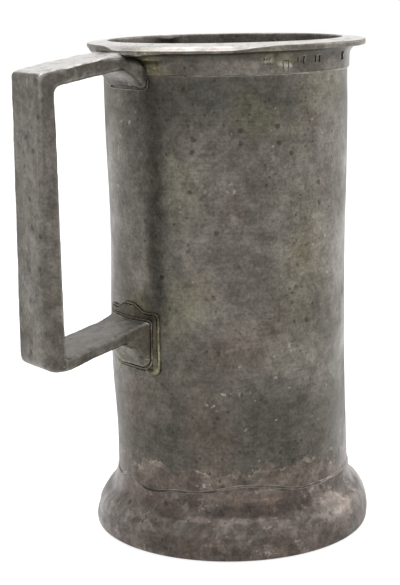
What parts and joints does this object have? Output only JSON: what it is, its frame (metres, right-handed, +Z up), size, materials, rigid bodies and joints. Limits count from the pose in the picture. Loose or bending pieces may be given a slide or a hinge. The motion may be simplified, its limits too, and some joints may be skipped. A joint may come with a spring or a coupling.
{
  "type": "wine measure tankard",
  "caption": "Cylindrical pewter wine measure tankard with an everted lip, a spreading foot ring, a floor plate and a squared bracket handle soldered under the lip and onto a pad.",
  "frame": {"origin": "centre of the circle on which the foot rests, so the object stands on z = 0", "axes": "+Z up the vessel's axis; the handle points along -X and is symmetric about the XZ plane"},
  "size_m": [0.1389, 0.1058, 0.184],
  "materials": {
    "body": "dull oxidised pewter with a worn grey-brown patina",
    "lip": "dull pewter, rubbed bright on top",
    "foot": "dark brown-grey oxidised pewter",
    "floor": "dull grey pewter",
    "handle": "worn cast pewter, brighter along its edges",
    "pad": "worn grey pewter",
    "solder": "tarnished yellow-grey tin solder"
  },
  "bodies": {
    "root": {"drum": "body", "lip_ring": "lip", "foot_ring": "foot", "base_disc": "floor", "handle": "handle", "handle_pad": "pad", "lip_solder": "solder", "foot_solder": "solder", "base_solder": "solder", "upper_root_solder": "solder", "lower_root_solder": "solder", "pad_solder": "solder"}
  },
  "joints": []
}
